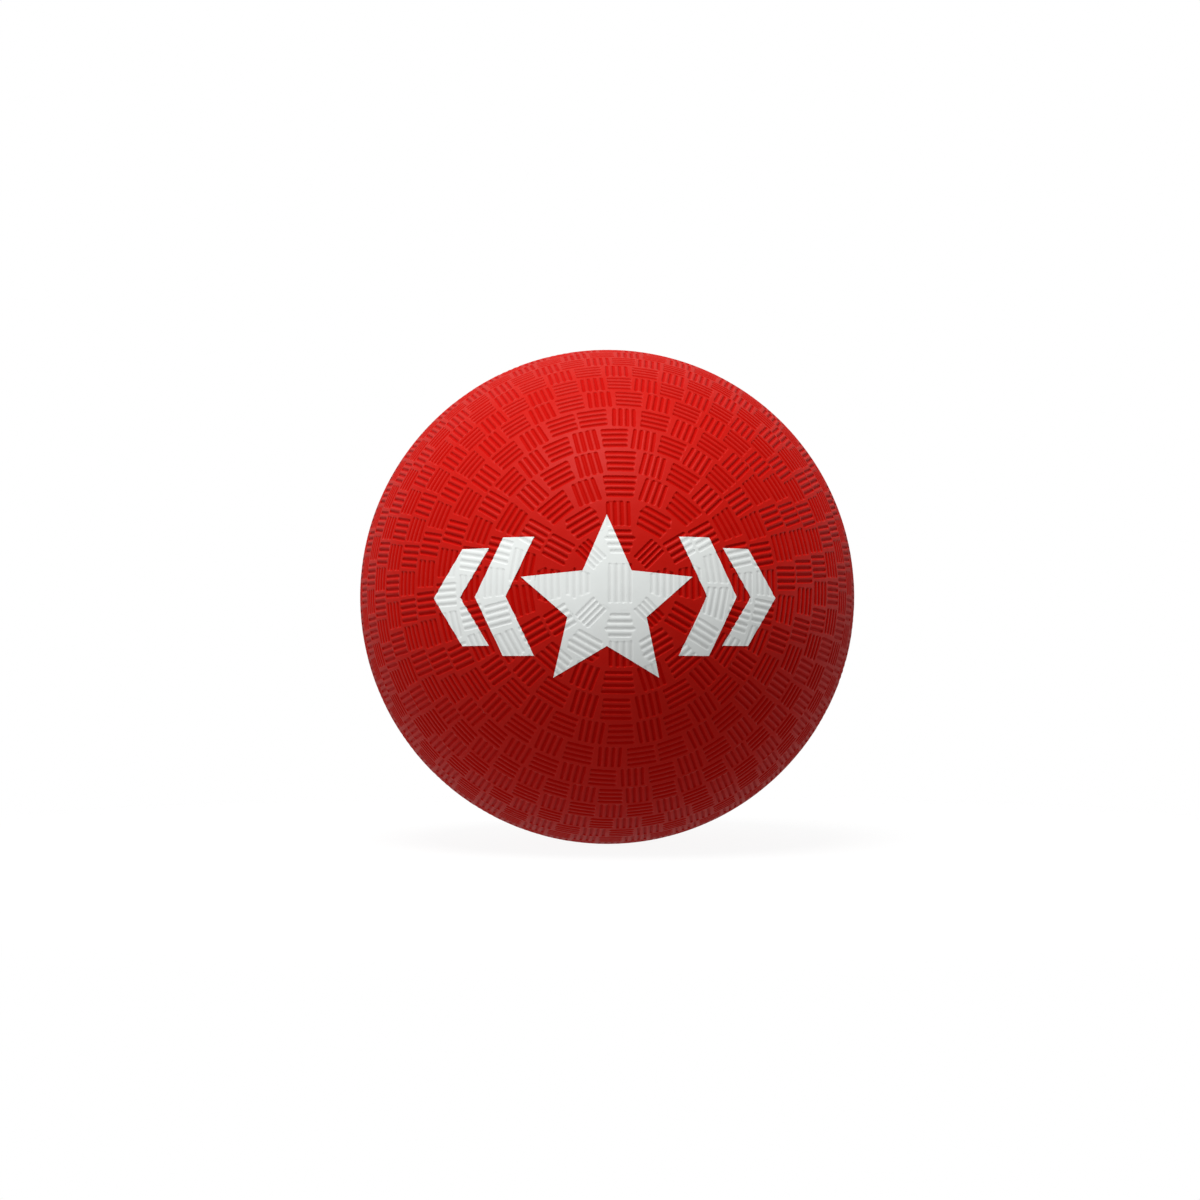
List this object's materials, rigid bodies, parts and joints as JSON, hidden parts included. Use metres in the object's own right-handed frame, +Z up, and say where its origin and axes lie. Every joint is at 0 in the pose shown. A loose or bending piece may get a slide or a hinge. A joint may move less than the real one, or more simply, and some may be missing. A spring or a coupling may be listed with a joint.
{
  "type": "playground rubber ball",
  "caption": "Inflated rubber playground ball with a basket-weave grip texture, a printed star and chevrons, and a plug valve for an inflation needle.",
  "frame": {"origin": "centre of the ball", "axes": "+Z up as the ball stands; the printed pole of the mould faces -Y; +Y is the valve axis, out of the needle port"},
  "size_m": [0.2164, 0.216, 0.2164],
  "materials": {
    "cover_rubber": "moulded satin",
    "bladder_rubber": "smooth satin",
    "patch_rubber": "matte",
    "boot_rubber": "smooth satin",
    "plug_rubber": "smooth satin",
    "print_ink": "satin ink film"
  },
  "bodies": {
    "root": {"cover_front": "cover_rubber", "cover_back": "cover_rubber", "bladder": "bladder_rubber", "valve_patch": "patch_rubber", "valve_boot": "boot_rubber", "valve_plug": "plug_rubber", "print_star": "print_ink", "print_chevrons_left": "print_ink", "print_chevrons_right": "print_ink"}
  },
  "joints": []
}
